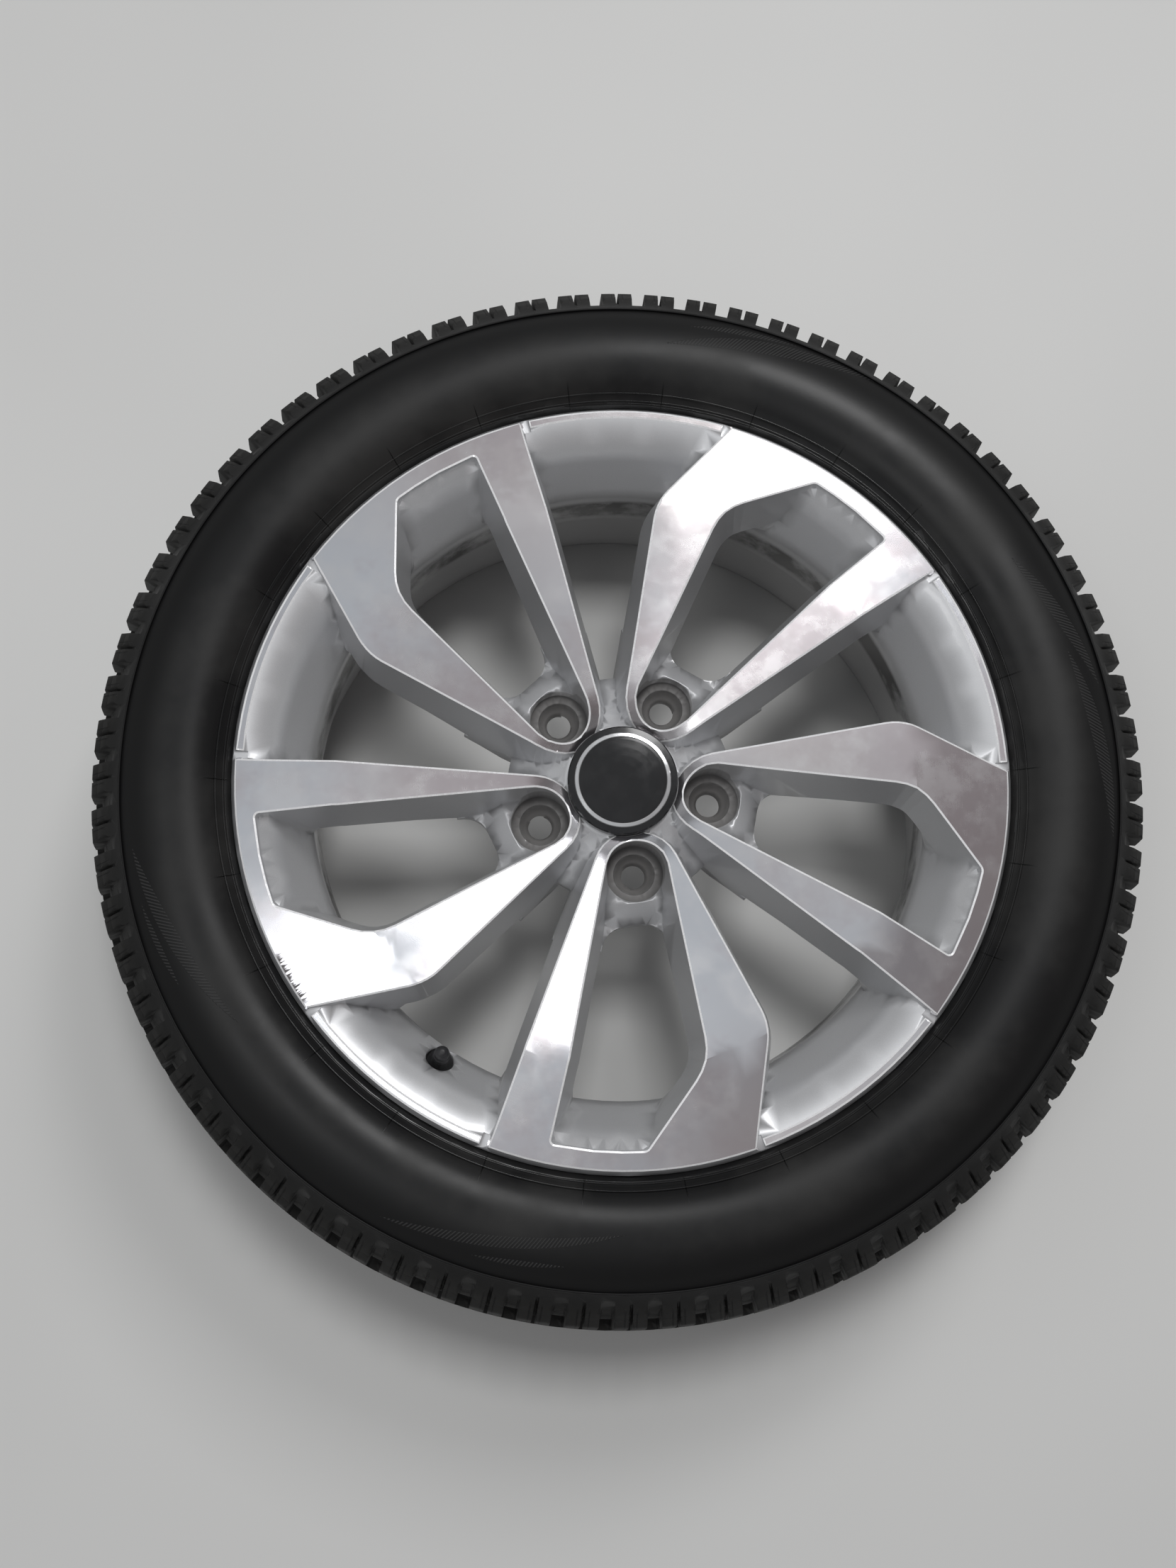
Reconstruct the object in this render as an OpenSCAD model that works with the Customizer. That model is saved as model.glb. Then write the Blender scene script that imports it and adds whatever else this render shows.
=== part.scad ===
/* [Tyre] */
// Outer diameter of the tyre
tyre_d = 660; // [652:1:672]
// Width of the tyre across its sidewalls
tyre_w = 226; // [218:1:234]
// Width of the tread across its shoulders
tread_w = 170; // [164:1:176]
// Drop of the crown from the middle of the tread to its shoulders
crown_drop = 8.6; // [6:0.2:10]
// Depth of the tread grooves
tread_depth = 8; // [5:0.5:9]
// Number of blocks round each shoulder
block_n = 72; // [60:4:84]
// Width of the slots between the blocks
slot_w = 9; // [6:0.5:11]
// Width of the narrow slot in the middle of each block
split_w = 2.6; // [1.5:0.1:3.5]
// Angle of the grooves that run across the tread toward its middle
slant = 35; // [25:1:40]
// Distance between neighbouring grooves round the tread
groove_gap = 37; // [34:1:38]
// Width of the grooves round the tread
groove_w = 7; // [5:0.5:9]
// Height of the sidewall's ridge below the top of the tread
shoulder_h = 30; // [26:1:34]
// Thickness of rubber under the tread grooves
crown_t = 6; // [4:0.5:8]
// Thickness of the sidewalls
side_t = 8.5; // [6:0.5:10]

/* [Rim] */
// Radius of the bead seats
bead_r = 218.3; // [217:0.1:219.5]
// Height of the flanges above the bead seats
flange_h = 17.3; // [16:0.1:18]
// Width between the flanges, where the beads sit
rim_w = 178; // [172:1:182]
// Width of the wheel from lip to lip
wheel_w = 203; // [199:1:207]
// Inner radius of the barrel at its narrowest
barrel_r = 193; // [190:0.5:195]
// Thickness of the barrel wall
barrel_t = 5; // [4:0.5:6]
// Running clearance between the tyre and the rim
bead_gap = 0.3; // [0.2:0.05:0.4]

/* [Spokes] */
// Number of double spokes
spoke_n = 5; // [5:1:5]
// Angle of the straight leg's outer edge from the spoke's axis
leg_a = 28; // [27:0.25:28.5]
// Radius of the ridge round the face where it turns down to the rim
ridge_r = 175; // [170:1:180]
// Height of that ridge above the front lip
ridge_h = 8; // [5:0.5:10]
// Slope of the face from the ridge toward the hub, rise over run
face_slope = 0.135; // [0.11:0.005:0.15]
// Draft of the spoke walls in degrees
draft = 10; // [7:0.5:11]
// Width of the bright lip between the spokes
strip_w = 4.6; // [3:0.2:6]

/* [Hub] */
// Distance of the mounting face from the wheel's centre line
offset_et = 48; // [45:0.5:50]
// Diameter of the bolt circle
pcd = 112; // [110:0.5:114]
// Number of wheel bolts
bolt_n = 5; // [5:1:5]
// Diameter of the bolt holes
bolt_d = 15; // [14:0.25:16]
// Radius of the ball seats for the bolts
seat_r = 13; // [12:0.25:14]
// Diameter of the wells over the bolts
well_d = 36; // [35.5:0.1:36.5]
// Diameter of the bore that centres the wheel on its hub
hub_bore_d = 57.1; // [56.6:0.1:58]
// Diameter of the bore that holds the centre cap
cap_bore_d = 54; // [52:0.5:55]

/* [Centre cap] */
// Diameter of the centre cap
cap_d = 67.6; // [66:0.2:68.4]
// Height of the cap's edge above its seat
cap_edge_h = 6.8; // [5:0.2:8]
// Rise of the domed top above its edge
cap_dome = 1.6; // [1:0.1:3]
// Outer diameter of the bright ring in the cap
trim_d = 59.2; // [58:0.2:61]
// Width of the bright ring in the cap
trim_w = 2.7; // [2:0.1:3.5]
// Number of clip legs behind the cap
clip_n = 6; // [4:1:8]
// Length of the clip legs
clip_len = 11.5; // [10:0.25:12]
// Clearance round the cap and its clips
cap_gap = 0.3; // [0.2:0.05:0.4]

/* [Valve] */
// Place of the valve round the wheel in degrees
valve_a = 228.9; // [222:0.1:236]
// Lean of the valve toward the hub in degrees
valve_lean = 12; // [9:0.5:14]
// Diameter of the valve hole
valve_hole_d = 11.3; // [11:0.1:11.7]
// Thickness of the rim at the valve hole
valve_wall = 4.5; // [3.5:0.25:5]
// Diameter of the rubber collar on the rim
collar_d = 16.8; // [16:0.2:17.4]
// Length of the rubber sleeve in front of the rim
sleeve_len = 18; // [16:0.5:20]
// Diameter of the threaded end of the stem
stem_d = 7.7; // [7.5:0.05:7.9]
// Length of the stem's threaded end
thread_len = 8.5; // [7:0.5:10]
// Outer diameter of the dust cap
dust_cap_d = 10; // [9.8:0.1:11]
// Clearance between the dust cap and the thread
thread_gap = 0.15; // [0.1:0.05:0.25]
// Diameter of the bore that the valve core screws into
core_d = 5; // [4.6:0.1:5.2]

/* [Hidden] */
$fn = 64;

tyre_r = tyre_d / 2;
mid_z = tyre_w / 2;
lip_z = mid_z + wheel_w / 2;
mount_z = mid_z + offset_et;
flange_r = bead_r + flange_h;
lip_r = flange_r - 2.5;
cap_seat_z = lip_z - 24;

// Smooth curves and rounded outlines
function unit(v) = v / norm(v);
function polar(r, a) = r * [sin(a), -cos(a)];
function bezier(a, b, c, d, t) =
    pow(1 - t, 3) * a + 3 * t * pow(1 - t, 2) * b + 3 * t * t * (1 - t) * c + t * t * t * d;
function side_normal(a, b) = let (d = unit(b - a)) [d[1], -d[0]];
// Direction in which a corner moves when both of its sides move out by one
function mitre(p, i) =
    let (n = len(p), a = side_normal(p[(i + n - 1) % n], p[i]), b = side_normal(p[i], p[(i + 1) % n]))
    (a + b) / (1 + a * b);
function widen(p, d) = [for (i = [0:len(p) - 1]) p[i] + mitre(p, i) * d[i]];
// Arc of the given radius at one corner, in k steps
function corner(a, b, c, r, k) =
    let (u = unit(a - b), v = unit(c - b), half = acos(u * v) / 2, m = b + unit(u + v) * r / sin(half),
        p = b + u * r / tan(half) - m, q = b + v * r / tan(half) - m, s = atan2(p[1], p[0]),
        turn = (atan2(q[1], q[0]) - s + 540) % 360 - 180)
    [for (j = [0:k]) m + r * [cos(s + turn * j / k), sin(s + turn * j / k)]];
function rounded(p, r, k) = let (n = len(p))
    [for (i = [0:n - 1]) each r[i] == 0 ? [p[i]] : corner(p[(i + n - 1) % n], p[i], p[(i + 1) % n], r[i], k)];

// Height of the machined face over a radius
function face_z(r) = lip_z + (
    r >= ridge_r ? ridge_h * (lip_r - r) / (lip_r - ridge_r)
    : r >= hub_r ? ridge_h - face_slope * (ridge_r - r)
    : ridge_h - face_slope * (ridge_r - r) - pow(hub_r - r, 2) / 63);
hub_r = 60;

// Outline of a spoke on the face, as corners with the radius of each rounding
leg_in = polar(57.5, -leg_a - 0.5);
kink = polar(171.7, 21.3);
rim_out_k = polar(232.9, 10.9);
u_top = -32.8;
function at_y(a, b, y) = a + (b - a) * (y - a[1]) / (b[1] - a[1]);
function past(a, b, k) = b + unit(b - a) * k;
bend_r = ridge_r - 3;
spoke_out = [
    past(kink, rim_out_k, 40), kink, at_y(kink, [25.7, -50], u_top), at_y(polar(bend_r, -leg_a), leg_in, u_top),
    polar(bend_r, -leg_a), past(polar(bend_r, -leg_a), polar(lip_r, -leg_a), 40)
];
spoke_out_round = [0, 32, 26, 26, 0, 0];

// Outline of the opening between a spoke's two legs on the face
lug_y = -pcd / 2;
gap_top = lug_y + 17;
gap_bend = polar(bend_r, -18.95);
gap_kink = polar(176.9, 7.7);
window_r = 221.6;
rim_a = [-19.45, -4.9];
window_in = [
    at_y(gap_bend, [-19, lug_y - 1], gap_top), gap_bend,
    for (t = [0, 0.45, 0.75, 1]) polar(window_r, rim_a[0] + (rim_a[1] - rim_a[0]) * t),
    gap_kink, at_y(gap_kink, [18, lug_y - 2], gap_top)
];
window_in_round = [16.5, 0, 2.5, 0, 0, 4, 35, 16.5];

// Levels between which the spoke walls are drawn
top_z = lip_z + ridge_h + 8;
low_z = mount_z - 4;

// Solid between two outlines, one above the other
module loft(low, high, z0, z1) {
    n = len(low);
    polyhedron(
        points = [for (p = low) [p[0], p[1], z0], for (p = high) [p[0], p[1], z1]],
        faces = [
            [for (i = [0:n - 1]) i],
            [for (i = [n - 1:-1:0]) n + i],
            for (i = [0:n - 1]) [i, n + i, n + (i + 1) % n, (i + 1) % n]
        ]);
}

// How far a drafted wall has moved out at a level, for each corner on the face
function drift(p, z, a) = [for (q = p) tan(a) * (face_z(norm(q)) - z)];

// Outline with drafted walls at a level: each corner moves by its drift, and its rounding grows with it
function wall_at(p, round, z, a, k) = let (d = drift(p, z, a))
    rounded(widen(p, d), [for (i = [0:len(p) - 1]) round[i] > 10 ? round[i] + d[i] : round[i]], k);

// Outer walls of a spoke, wider toward the back
module spoke_walls() {
    loft(
        wall_at(spoke_out, spoke_out_round, low_z, draft, 5),
        wall_at(spoke_out, spoke_out_round, top_z, draft, 5), low_z, top_z);
}

// Opening between the legs, narrower toward the back
module leg_gap() {
    loft(
        wall_at(window_in, window_in_round, low_z, -draft, 4),
        wall_at(window_in, window_in_round, top_z, -draft, 4), low_z, top_z);
}

module spin(profile) { rotate_extrude($fn = 128) polygon(profile); }

module barrel() {
    front = lip_z;
    back = mid_z - wheel_w / 2;
    bead_f = mid_z + rim_w / 2;
    bead_b = mid_z - rim_w / 2;
    well_r = barrel_r + barrel_t;
    seat_drop = 1.6;
    spin([
        [lip_r - strip_w, front - 0.8], [lip_r, front], [flange_r, front - 4], [flange_r, bead_f + 4],
        [flange_r - 6.6, bead_f - 0.1], [bead_r + 3.7, bead_f - 0.4], [bead_r, bead_f - 3.5],
        [bead_r - seat_drop, bead_f - 21.5], [bead_r + 0.2, bead_f - 24.5], [bead_r - 1.8, bead_f - 28.5],
        [well_r, bead_f - 45.5], [well_r, bead_f - 67.5], [well_r + 7, bead_f - 79.5],
        [bead_r - 4.5, bead_b + 24], [bead_r - 1.6, bead_b + 18], [bead_r, bead_b + 3.5], [bead_r + 3.7, bead_b + 0.4],
        [flange_r - 6.6, bead_b + 0.1], [flange_r, bead_b - 4], [flange_r, back + 3], [flange_r - 3.6, back],
        [flange_r - 6.6, back], [bead_r - 3.3, back + 4], [bead_r - 5.3, back + 13], [bead_r - 10.3, back + 38],
        [barrel_r + 7, front - 96], [barrel_r, front - 84], [barrel_r, front - 46], [bead_r - 17.8, front - 32],
        [bead_r - 4.3, front - 5]
    ]);
}

// Disc that holds the spokes, from the face to the back
module spoke_disc() {
    spin(concat(
        [for (r = [27:5.5:hub_r]) [r, face_z(r)]],
        [[ridge_r, face_z(ridge_r)], [lip_r, face_z(lip_r)], [lip_r - 3, lip_z - 6], [bead_r - 4, lip_z - 13],
            [205, lip_z - 36], [barrel_r + 3.5, lip_z - 44], [188, lip_z - 30], [ridge_r, lip_z - 28],
            [130, lip_z - 36], [90, lip_z - 46], [pad_r, mount_z], [core_r_in, mount_z],
            [core_r_in, core_low_z], [27, core_low_z]]));
}
pad_r = 78;
core_r_in = 66;
core_low_z = lip_z - 44.5;

// Hub pad with the sloping floor between the spokes
module hub_core() {
    spin([[20, mount_z], [71, mount_z], [71, lip_z - 43], [36, lip_z - 25], [34.4, cap_seat_z], [20, cap_seat_z]]);
}

// Floor between a spoke's legs round its bolt
module web() {
    spin([
        [30, core_low_z], [core_r_in, core_low_z], [core_r_in, mount_z], [pad_r, mount_z], [92, lip_z - 50], [104, lip_z - 48], [104, lip_z - 43.5],
        [88, lip_z - 43], [75, lip_z - 30], [30, lip_z - 30]
    ]);
}

// Straight cut that ends the web where the opening goes right through
module web_end() {
    y = -86.7;
    corners = [[-21.1, y], [-60, -180], [30, -180], [13.4, y]];
    translate([0, 0, mount_z - 6]) linear_extrude(30) polygon(rounded(corners, [15, 0, 0, 15], 6));
}

module spoke() {
    difference() {
        intersection() {
            spoke_disc();
            spoke_walls();
        }
        leg_gap();
    }
    difference() {
        intersection() {
            web();
            spoke_walls();
        }
        web_end();
    }
}

// Well, ledge, ball seat and hole of one bolt
module bolt_cut() {
    ledge_z = mount_z + 15;
    translate([0, lug_y, 0]) {
        translate([0, 0, mount_z - 1]) cylinder(d = bolt_d, h = 30);
        translate([0, 0, ledge_z]) sphere(r = seat_r);
        translate([0, 0, ledge_z]) cylinder(d = well_d, h = 60);
    }
}

// Shallow pocket in the mounting face between two bolts
module pad_pocket() {
    rotate([0, 0, 180 / spoke_n - 12]) rotate_extrude(angle = 24)
        polygon([[40, mount_z - 1], [64, mount_z - 1], [64, mount_z + 4], [40, mount_z + 4]]);
}

// Painted gap between a spoke and the bright lip beside it
module lip_gap(a) {
    rotate([0, 0, a - 90 - 0.65]) rotate_extrude(angle = 1.3)
        polygon([[lip_r - 7, lip_z - 2.2], [lip_r + 4, lip_z - 2.2], [lip_r + 4, lip_z + 2], [lip_r - 7, lip_z + 2]]);
}

// Frame of the valve: origin on the rim's front face at its hole, Z out along the stem
module at_valve() {
    rotate([0, 0, valve_a]) translate([bead_r - 15, 0, lip_z - 44]) rotate([0, -valve_lean, 0]) children();
}

module valve_cut() {
    at_valve() {
        translate([0, 0, -20]) cylinder(d = valve_hole_d, h = 40);
        cylinder(r = 9, h = 30);
        translate([0, 0, -valve_wall - 16]) cylinder(r = 9.2, h = 16);
    }
}

module alloy_wheel() {
    color([0.72, 0.73, 0.76]) difference() {
        union() {
            difference() {
                barrel();
                for (k = [0:spoke_n - 1]) {
                    lip_gap(k * 360 / spoke_n - leg_a - 0.7);
                    lip_gap(k * 360 / spoke_n + 11.6);
                }
            }
            hub_core();
            for (k = [0:spoke_n - 1]) rotate([0, 0, k * 360 / spoke_n]) spoke();
        }
        for (k = [0:bolt_n - 1]) rotate([0, 0, k * 360 / bolt_n]) {
            bolt_cut();
            pad_pocket();
        }
        translate([0, 0, cap_seat_z]) cylinder(d = cap_d + 2 * cap_gap, h = 40);
        translate([0, 0, mount_z - 1]) cylinder(d = cap_bore_d, h = 60);
        translate([0, 0, mount_z - 1]) cylinder(d = hub_bore_d, h = 18.5);
        valve_cut();
    }
}

// Radius of the tread's surface over its width
function crown_at(w) = tyre_r - crown_drop * pow(2 * w / tread_w, 2);

// Half section of the tyre, from the bead up over the sidewall to the tread, as radius and width
bead_inset = 0.4;
bead_w = rim_w / 2 - bead_inset - bead_gap;
bead_in = bead_r + bead_gap;
half_w = tyre_w / 2;
edge_w = tread_w / 2;
shoulder_r = tyre_r - shoulder_h;
side_raw = [for (t = [0:0.1:1]) bezier([flange_r + 9, half_w - 8], [flange_r + 21, half_w + 4],
    [shoulder_r - 16, half_w + 5], [shoulder_r, half_w - 7.5], t)];
side_peak = max([for (p = side_raw) p[1]]);
side = [for (p = side_raw) [p[0], p[1] * half_w / side_peak]];
side_end = side[10];
shoulder = [
    side_end + [0.2, 0.9], side_end + [1.3, 0.7],
    for (t = [0, 0.5]) bezier(side_end + [1.8, -0.6], side_end + [9, -5], [crown_at(edge_w) - 4, edge_w + 6.5],
        [crown_at(edge_w), edge_w], t),
    [crown_at(edge_w) - 0.8, edge_w + 0.8]
];
bead = [
    [bead_in + 0.6, bead_w - 18], [bead_in, bead_w - 3.2], [bead_in + 3.2, bead_w], [flange_r - 6.8, bead_w],
    [flange_r + bead_gap, bead_w + 4.4], [flange_r + bead_gap, bead_w + 9], [flange_r + 2, bead_w + 11.4],
    [flange_r + 2.6, bead_w + 12.6], [flange_r + 3.4, bead_w + 12.2], [flange_r + 7.4, bead_w + 14.6],
    [flange_r + 8, bead_w + 15.8]
];
// Notch of one groove round the tread, at a width from the middle
function notch(w) = let (a = w + groove_w / 2, b = w - groove_w / 2) [
    [crown_at(a), a], [crown_at(a) - tread_depth, a - 1.5], [crown_at(b) - tread_depth, b + 1.5], [crown_at(b), b]
];
outer_groove = groove_gap * 1.5;
inner_groove = groove_gap / 2;
half = concat(bead, side, shoulder,
    [for (w = [edge_w - 1, edge_w - 14]) [crown_at(w), w]], notch(outer_groove),
    [[crown_at(groove_gap), groove_gap]], notch(inner_groove));
liner_w = edge_w - 28;
function liner_at(w) = crown_at(w) - tread_depth - crown_t;
inner = concat(
    [for (t = [0:0.125:1]) bezier([bead_in + 6, bead_w - 12], [flange_r + 10, half_w - side_t + 13.5],
        [liner_at(liner_w) - 10, half_w - side_t + 10.5], [liner_at(liner_w), liner_w], t)],
    [[liner_at(liner_w / 2), liner_w / 2]]);
function upper(p) = [for (q = p) [q[0], mid_z + q[1]]];
function lower(p) = [for (i = [len(p) - 1:-1:0]) [p[i][0], mid_z - p[i][1]]];
function flip(p) = [for (i = [len(p) - 1:-1:0]) p[i]];

// Ring over one shoulder: its inner side is the floor of the shoulder slots, down to the sidewall's ridge
slot_depth = tread_depth - 1;
module shoulder_ring(depth) {
    spin([
        [crown_at(outer_groove) - depth, outer_groove], [crown_at(edge_w - 13) - depth + 1, edge_w - 13],
        [crown_at(edge_w) - depth - 1.5, edge_w - 1], [shoulder_r + 2.5, half_w - 7], [tyre_r + 5, half_w - 7],
        [tyre_r + 5, outer_groove]
    ]);
}

// Straight slots across a shoulder, one to each pitch
module shoulder_slots(w, depth, turn) {
    intersection() {
        translate([0, 0, outer_groove]) linear_extrude(half_w - 7 - outer_groove) for (k = [0:block_n - 1])
            rotate((k + turn) * 360 / block_n)
                polygon([[shoulder_r, -w / 2 + 0.4], [tyre_r + 4, -w / 2], [tyre_r + 4, w / 2], [shoulder_r, w / 2 - 0.4]]);
        shoulder_ring(depth);
    }
}

// Slanted grooves from the outer groove to the inner one, one to each pitch
module slant_slots() {
    slant_w = slot_w / 2;
    reach = groove_gap / cos(slant);
    for (k = [0:block_n - 1]) rotate([0, 0, (k + 0.5) * 360 / block_n])
        translate([crown_at(groove_gap) - slot_depth, 0, groove_gap]) rotate([slant, 0, 0])
            translate([0, -slant_w / 2, -reach / 2]) cube([20, slant_w, reach]);
}

module tread_half(turn) {
    shoulder_slots(slot_w, slot_depth, turn);
    shoulder_slots(split_w, slot_depth - 2, turn + 0.5);
    rotate([0, 0, turn * 360 / block_n]) slant_slots();
}

module tyre() {
    color([0.13, 0.13, 0.14]) difference() {
        spin(concat(upper(half), lower(half), flip(lower(inner)), flip(upper(inner))));
        translate([0, 0, mid_z]) tread_half(0);
        translate([0, 0, mid_z]) mirror([0, 0, 1]) tread_half(0.5);
    }
}

// Centre cap: domed disc, skirt and clip legs in the cap bore
cap_r = cap_d / 2;
cap_z = cap_seat_z + 0.2;
clip_r = cap_bore_d / 2 - cap_gap;
clip_t = 2.2;
clip_in = clip_r - clip_t + 0.2;
cap_top = cap_z + cap_edge_h;
trim_r = trim_d / 2;
function cap_dome_z(r) = cap_top + cap_dome * (1 - pow(r / cap_r, 2));

module cap_body() {
    color([0.03, 0.03, 0.035]) difference() {
        union() {
            spin(concat(
                [[0, cap_z + 2.2], [clip_r - clip_t, cap_z + 2.2], [clip_r - clip_t, cap_z - 2],
                    [clip_r, cap_z - 2], [clip_r, cap_z], [cap_r, cap_z], [cap_r, cap_top - 0.8],
                    [cap_r - 0.8, cap_dome_z(cap_r - 0.8)]],
                [for (i = [5:-1:0]) [cap_r * 0.15 * i, cap_dome_z(cap_r * 0.15 * i)]]));
            for (k = [0:clip_n - 1]) rotate([0, 0, (k + 0.25) * 360 / clip_n])
                rotate_extrude(angle = 180 / clip_n, $fn = 96) polygon([
                    [clip_in, cap_z - 1], [clip_in, cap_z - clip_len + 3], [clip_in - 1.2, cap_z - clip_len + 2],
                    [clip_in - 1.2, cap_z - clip_len], [clip_r - 1.2, cap_z - clip_len],
                    [clip_r, cap_z - clip_len + 3], [clip_r - 0.8, cap_z - clip_len + 5], [clip_r - 0.8, cap_z - 1]
                ]);
        }
        trim_groove(0);
    }
}

// Section of the groove that holds the bright ring
module trim_groove(gap) {
    floor_z = cap_top - 0.6;
    rotate_extrude($fn = 128) polygon([
        [trim_r - trim_w + gap, floor_z], [trim_r - gap, floor_z], [trim_r - gap, cap_top + cap_dome + 1],
        [trim_r - trim_w + gap, cap_top + cap_dome + 1]
    ]);
}

module cap_trim_ring() {
    gap = 0.05;
    floor_z = cap_top - 0.6;
    out = trim_r - gap;
    in = trim_r - trim_w + gap;
    rise = 0.5;
    color([0.9, 0.9, 0.92]) spin([
        [in, floor_z], [out, floor_z], [out, cap_dome_z(out) + rise - 0.3], [out - 0.4, cap_dome_z(out) + rise],
        [in + 0.4, cap_dome_z(in) + rise], [in, cap_dome_z(in) + rise - 0.3]
    ]);
}

module cap_spring_ring() {
    wire_r = 0.8;
    color([0.6, 0.61, 0.63]) translate([0, 0, cap_z - clip_len + 3 + wire_r])
        rotate_extrude($fn = 96) translate([clip_in - wire_r - 0.05, 0]) circle(r = wire_r, $fn = 24);
}

// Valve, drawn along its own axis with its origin on the rim
stem_top = sleeve_len + thread_len;
core_r = core_d / 2;
stem_r = stem_d / 2;
bulb_len = 7;

module valve_body() {
    neck_r = valve_hole_d / 2 - 0.05;
    bore_r = stem_r - 0.6;
    color([0.06, 0.06, 0.065]) at_valve() spin([
        [bore_r, -valve_wall - bulb_len], [6.4, -valve_wall - bulb_len], [7.9, -valve_wall - 1.4],
        [7.9, -valve_wall - 0.05], [neck_r, -valve_wall - 0.05], [neck_r, 0.05], [collar_d / 2 - 0.5, 0.05],
        [collar_d / 2, 0.6], [collar_d / 2, 2], [collar_d / 2 - 1.6, 4], [6.1, 6.2], [5.2, 9], [4.9, sleeve_len - 1],
        [4.5, sleeve_len], [bore_r, sleeve_len]
    ]);
}

module valve_stem() {
    color([0.8, 0.66, 0.34]) at_valve() spin([
        [core_r, -valve_wall - bulb_len + 1], [stem_r - 0.62, -valve_wall - bulb_len + 1],
        [stem_r - 0.62, sleeve_len + 0.02], [stem_r, sleeve_len + 0.02], [stem_r, stem_top - 0.5],
        [stem_r - 0.5, stem_top], [core_r + 0.02, stem_top]
    ]);
}

pin_r = 0.55;
pin_tip = stem_top - 0.4;
core_top = stem_top - 1.2;
core_len = 9;
ledge_z = core_top - core_len + 1.2;
collar_z = core_top - 2;
spring_room = 1.55;

// Barrel of the core: threaded head, and a narrower foot with the ledge that the spring stands on
module core_body() {
    color([0.78, 0.64, 0.36]) at_valve() spin([
        [pin_r + 0.2, core_top - core_len], [core_r - 0.55, core_top - core_len], [core_r - 0.55, core_top - 4.2],
        [core_r - 0.05, core_top - 3.8], [core_r - 0.05, core_top], [spring_room, core_top],
        [spring_room, ledge_z], [pin_r + 0.2, ledge_z]
    ]);
}

module core_seal() {
    color([0.75, 0.1, 0.08]) at_valve() spin([
        [core_r - 0.53, core_top - 7.6], [core_r - 0.1, core_top - 7.6], [core_r - 0.05, core_top - 5.6],
        [core_r - 0.53, core_top - 5]
    ]);
}

// Pin with the collar that the spring lifts and the plate that shuts the barrel's foot
module core_pin() {
    plate_t = 1.2;
    plate_z = core_top - core_len - 0.08 - plate_t;
    color([0.82, 0.7, 0.42]) at_valve() union() {
        translate([0, 0, plate_z]) cylinder(r = pin_r, h = pin_tip - plate_z, $fn = 32);
        translate([0, 0, plate_z]) cylinder(r = core_r - 0.5, h = plate_t, $fn = 32);
        translate([0, 0, collar_z]) cylinder(r = spring_room - 0.25, h = 0.8, $fn = 32);
    }
}

// Coil spring round the pin, from the ledge to the collar
module core_spring() {
    wire_r = 0.2;
    coil_r = 1.1;
    turns = 7;
    steps = 12;
    sides = 6;
    low = ledge_z + wire_r + 0.03;
    rise = collar_z - wire_r - 0.03 - low;
    n = turns * steps;
    color([0.7, 0.7, 0.72]) at_valve() polyhedron(
        points = [for (i = [0:n]) let (a = i * 360 / steps, z = low + rise * i / n)
            for (j = [0:sides - 1]) let (b = j * 360 / sides, r = coil_r + wire_r * cos(b))
                [r * cos(a), r * sin(a), z + wire_r * sin(b)]],
        faces = [
            [for (j = [0:sides - 1]) j],
            [for (j = [sides - 1:-1:0]) n * sides + j],
            for (i = [0:n - 1]) for (j = [0:sides - 1])
                [i * sides + j, (i + 1) * sides + j, (i + 1) * sides + (j + 1) % sides, i * sides + (j + 1) % sides]
        ]);
}

// Dust cap with a domed end and its sealing washer
dust_z = sleeve_len + 0.4;
dust_r = dust_cap_d / 2;
dust_len = 15.5;
washer_z = stem_top + 0.3;
washer_t = 1.2;

module valve_cap() {
    bore_r = stem_r + thread_gap;
    end = dust_z + dust_len;
    round_r = dust_r - 0.6;
    color([0.05, 0.05, 0.055]) at_valve() spin(concat(
        [[bore_r, dust_z], [dust_r - 0.4, dust_z], [dust_r, dust_z + 0.4], [dust_r, dust_z + 7],
            [dust_r - 0.6, dust_z + 8]],
        [for (a = [0:18:72]) [round_r * cos(a), end - round_r + round_r * sin(a)]],
        [[0, end], [0, washer_z + washer_t + 0.05], [bore_r, washer_z + washer_t + 0.05]]));
}

module valve_cap_seal() {
    color([0.3, 0.3, 0.3]) at_valve() translate([0, 0, washer_z])
        cylinder(r = stem_r + thread_gap - 0.2, h = washer_t);
}

alloy_wheel();
tyre();
cap_body();
cap_trim_ring();
cap_spring_ring();
valve_body();
valve_stem();
core_body();
core_pin();
core_spring();
core_seal();
valve_cap();
valve_cap_seal();
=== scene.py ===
# %% [markdown]
# # A car wheel with its tyre
# The object is a cast alloy wheel with five V-shaped double spokes and a winter tyre on it. It lies on its
# back, face up. The exact solids come from the CAD model, which this script loads as a fixed frame. What
# Blender adds is what a lathe, a paint shop and a road add: cut edges with a painted highlight on them,
# turning lines, silver paint coloured darker deep in the barrel and the bolt wells, a band of dirt, and a
# tyre with its fine ribs and sipes.

# %% Load the frame
import math

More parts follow.
